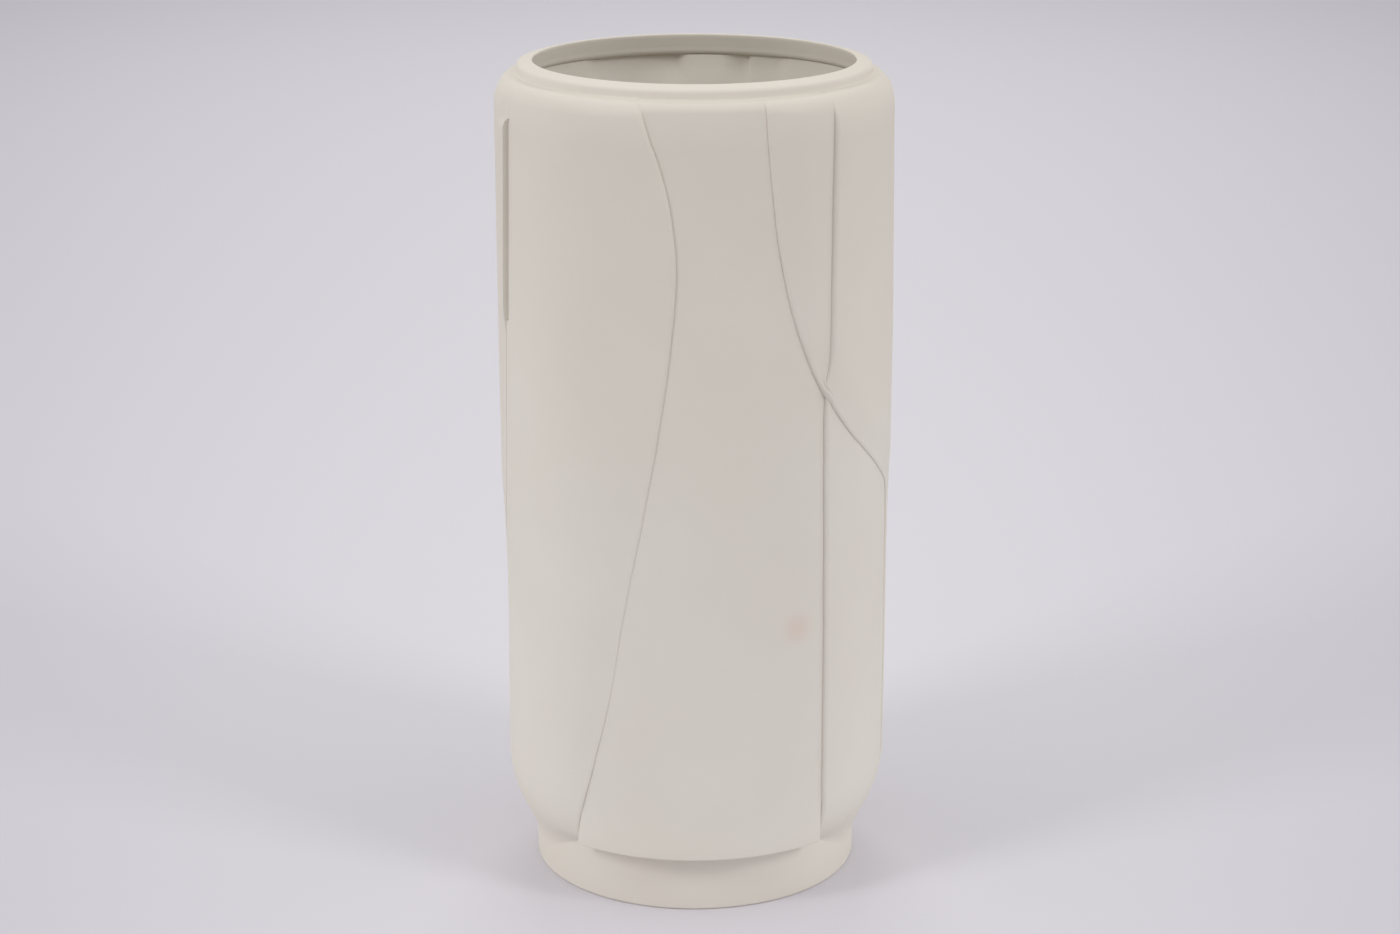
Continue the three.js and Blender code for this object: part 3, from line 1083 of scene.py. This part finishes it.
# %% Put each piece in its node's place
fitted = [
    (foot, "foot_ring", "porcelain_rim", rim_finish),
    (floor_disc, "floor_disc", "porcelain_body", body_finish),
    (cast_wall, "body_wall", "porcelain_body", body_finish),
    (left_sheet, "left_sheet", "porcelain_sheet", sheet_finish),
    (right_sheet, "right_sheet", "porcelain_sheet", sheet_finish),
    (outer_sheet, "back_sheet", "porcelain_sheet", sheet_finish),
    (shoulder, "shoulder_ring", "porcelain_rim", rim_finish),
    (collar, "neck_collar", "porcelain_rim", rim_finish),
    (lip, "lip_ring", "porcelain_rim", rim_finish),
]
for piece, node, slot, finish in fitted:
    for memory in ("column", "row"):
        if memory in piece.data.attributes:
            piece.data.attributes.remove(piece.data.attributes[memory])
    piece.data.materials.append(finish)
    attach(piece, "root")
    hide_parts(node)
print(f"{len(fitted)} pieces fitted")

# %% [markdown]
# Paper floor
#
# The vase stands on pale paper that runs far back, so the floor is also the background. Shade is painted on the
# paper, a little darker towards the sides and the far end, where a studio's light thins out. A flat colour with
# stronger lamps could do that too, but then the vase would change with it. So the paper's tone and a painted shade
# tone are mixed by where a place is on the floor.

# %% Floor
floor_size = 12
paper = (0.742, 0.72, 0.766, 1)
# The darker tone is painted shade, standing in for the studio light thinning out towards the sides and the far end.
painted_shade_paper = (0.594, 0.576, 0.627, 1)
paper_reach = 1.06
least_reach = 0.9
brightest = 0.655
spread_across = 4.25
spread_along = 1.85
painted_shade_share = 0.55

clean_slate()
bpy.ops.mesh.primitive_plane_add(size=floor_size)
ground = bpy.context.object
ground.name = "studio_floor"
ground_finish = bpy.data.materials.new("studio_paper")
ground_finish.use_nodes = True
tree = ground_finish.node_tree
spot = tree.nodes.new("ShaderNodeSeparateXYZ")
tree.links.new(tree.nodes.new("ShaderNodeTexCoord").outputs["Object"], spot.inputs["Vector"])
reach = worked_out(tree, "MAXIMUM", worked_out(tree, "ADD", spot.outputs["Y"], paper_reach), least_reach)
nearness = worked_out(tree, "DIVIDE", 1, reach)
across = worked_out(tree, "MULTIPLY", worked_out(tree, "DIVIDE", spot.outputs["X"], reach), spread_across)
along = worked_out(tree, "MULTIPLY", worked_out(tree, "SUBTRACT", nearness, brightest), spread_along)
away = worked_out(
    tree, "ADD", worked_out(tree, "MULTIPLY", across, across), worked_out(tree, "MULTIPLY", along, along)
)
# Painted shade: the paper is mixed towards the darker tone away from its brightest place.
paper_with_painted_shade = mixed(tree, worked_out(tree, "MULTIPLY", away, painted_shade_share), paper, painted_shade_paper)
ground_shader = tree.nodes["Principled BSDF"]
tree.links.new(paper_with_painted_shade, ground_shader.inputs["Base Color"])
ground_shader.inputs["Roughness"].default_value = 1
ground_shader.inputs["Specular IOR Level"].default_value = 0
ground.data.materials.append(ground_finish)
ground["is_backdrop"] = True
print("paper floor laid")

# %% [markdown]
# Light
#
# A pale sky gives most of the light. It is stronger from both sides than from the front, which leaves the middle of
# the vase a touch darker than its edges. Two soft lamps stand in front to the left and the right, and lay two faint
# shadows on the paper. A third, high behind, brightens the far side of the mouth, and a wide one overhead lights the
# ledge. The camera sees a plain pale backdrop in place of the sky, which adds no light.

# %% Sky
sky_even = 0.254
sky_sides = 0.998
sky_back = -0.254
sky_high = 0.48
backdrop_colour = (0.7, 0.68, 0.72, 1)

world = bpy.data.worlds.new("studio_sky")
bpy.context.scene.world = world
world.use_nodes = True
sky = world.node_tree
direction = sky.nodes.new("ShaderNodeSeparateXYZ")
sky.links.new(sky.nodes.new("ShaderNodeTexCoord").outputs["Generated"], direction.inputs["Vector"])
sideways, backwards, up = (direction.outputs[axis] for axis in "XYZ")
sides = worked_out(sky, "MULTIPLY_ADD", worked_out(sky, "MULTIPLY", sideways, sideways), sky_sides, sky_even)
behind = worked_out(sky, "MULTIPLY_ADD", backwards, sky_back / 2, sky_back / 2)
high = worked_out(sky, "MULTIPLY_ADD", worked_out(sky, "MULTIPLY", up, up), sky_high, behind)
light_sky = sky.nodes["Background"]
light_sky.inputs["Color"].default_value = (1, 1, 1, 1)
sky.links.new(worked_out(sky, "ADD", sides, high), light_sky.inputs["Strength"])

backdrop = sky.nodes.new("ShaderNodeBackground")
backdrop.inputs["Color"].default_value = backdrop_colour
seen = sky.nodes.new("ShaderNodeMixShader")
sky.links.new(sky.nodes.new("ShaderNodeLightPath").outputs["Is Camera Ray"], seen.inputs["Fac"])
sky.links.new(light_sky.outputs["Background"], seen.inputs[1])
sky.links.new(backdrop.outputs["Background"], seen.inputs[2])
sky.links.new(seen.outputs["Shader"], sky.nodes["World Output"].inputs["Surface"])
print("sky made")


# %% Lamps
def lamp(name, azimuth_degrees, elevation_degrees, distance, size, watts):
    """A square soft lamp at an angle round the vase, aimed at its middle."""
    clean_slate()
    target = Vector((0, 0, vase_height / 2))
    rise = math.radians(elevation_degrees)
    place = target + around(azimuth_degrees, distance * math.cos(rise), distance * math.sin(rise))
    turn = (target - place).to_track_quat("-Z", "Y").to_euler()
    bpy.ops.object.light_add(type="AREA", location=place, rotation=turn)
    light = bpy.context.object
    light.name = name
    light.data.size = size
    light.data.energy = watts
    return light


lamp("left_lamp", -56, 32, 1.6, 0.42, 5.8)
lamp("right_lamp", 56, 32, 1.6, 0.42, 5.13)
lamp("back_lamp", 180, 45, 2.6, 1.2, 12.7)
lamp("top_lamp", 0, 85, 2.2, 1.4, 1.9)
print("lit")

# %% [markdown]
# Measuring
# The vase should still fill the box of the imported model. A look at the picture wouldn't show a millimetre, so the
# box around the new pieces is measured.

# %% Measure and finish
low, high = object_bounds()
